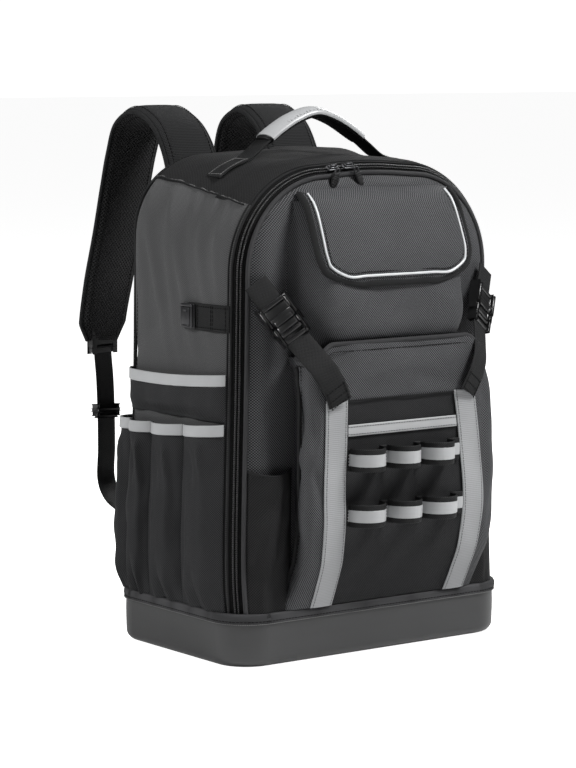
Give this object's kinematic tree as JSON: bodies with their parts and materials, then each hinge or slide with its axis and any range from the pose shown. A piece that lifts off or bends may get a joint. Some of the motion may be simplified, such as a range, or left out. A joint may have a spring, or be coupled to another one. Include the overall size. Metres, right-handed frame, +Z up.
{
  "type": "tool backpack",
  "caption": "Standing tool backpack: cloth body in a moulded tray, with front and side tool pockets, loops, a flap pocket, compression straps, a carry handle and padded shoulder straps.",
  "frame": {"origin": "centre of the tray's flat underside", "axes": "+Z up, -Y to the front with the pockets, +X to the right seen from the front"},
  "size_m": [0.3552, 0.4219, 0.5336],
  "materials": {
    "tray": "moulded, satin with a fine grain",
    "trim": "ribbed binding tape",
    "cloth": "heavy basket weave",
    "zip": "woven tape with a moulded coil",
    "metal": "black enamel",
    "reflective": "reflective ribbed tape with dark edges",
    "webbing": "ribbed webbing",
    "plastic": "moulded, glossy edges",
    "grip": "knurled underside, reflective back",
    "mesh": "padded, open diamond mesh"
  },
  "bodies": {
    "pack": {"base_tray": "tray", "base_binding": "trim", "main_body": "cloth", "front_panel": "cloth", "main_zip": "zip", "zip_slider_left": "metal", "zip_slider_right": "metal", "upper_pocket": "cloth", "pocket_flap": "cloth", "flap_binding": "trim", "flap_piping": "reflective", "lower_pocket": "cloth", "lower_pocket_lip": "trim", "reflective_strip_left": "reflective", "reflective_strip_right": "reflective", "crossband": "reflective", "tool_loops_upper": "webbing", "tool_loops_lower": "webbing", "stash_pouch_left": "cloth", "stash_pouch_right": "cloth", "tool_pocket_1": "cloth", "tool_pocket_2": "cloth", "tool_pocket_3": "cloth", "tool_pocket_4": "cloth", "tool_pocket_band": "reflective", "side_pocket_upper": "cloth", "side_pocket_band": "reflective", "tape_band": "webbing", "tape_clip": "metal", "compression_upper_left": "webbing", "compression_upper_right": "webbing", "compression_lower_left": "webbing", "compression_lower_right": "webbing", "buckle_socket_left": "plastic", "buckle_socket_right": "plastic", "buckle_plug_left": "plastic", "buckle_plug_right": "plastic", "carry_handle": "webbing", "handle_grip": "grip", "back_panel": "mesh", "shoulder_strap_left": "mesh", "shoulder_strap_right": "mesh", "strap_webbing_left": "webbing", "strap_webbing_right": "webbing", "strap_adjuster_left": "plastic", "strap_adjuster_right": "plastic", "sternum_webbing_left": "webbing", "sternum_webbing_right": "webbing", "sternum_buckle": "plastic"},
    "pull_left": {"zip_pull_left": "metal"},
    "pull_right": {"zip_pull_right": "metal"}
  },
  "joints": [
    {"name": "zip_pull_left_swing", "type": "hinge", "parent": "pack", "child": "pull_left", "pos_m": [-0.0405, -0.09827, 0.47758], "axis": [-1, 0, 0], "range_deg": [0, 60]},
    {"name": "zip_pull_right_swing", "type": "hinge", "parent": "pack", "child": "pull_right", "pos_m": [-0.0215, -0.09827, 0.47882], "axis": [-1, 0, 0], "range_deg": [0, 60]}
  ]
}
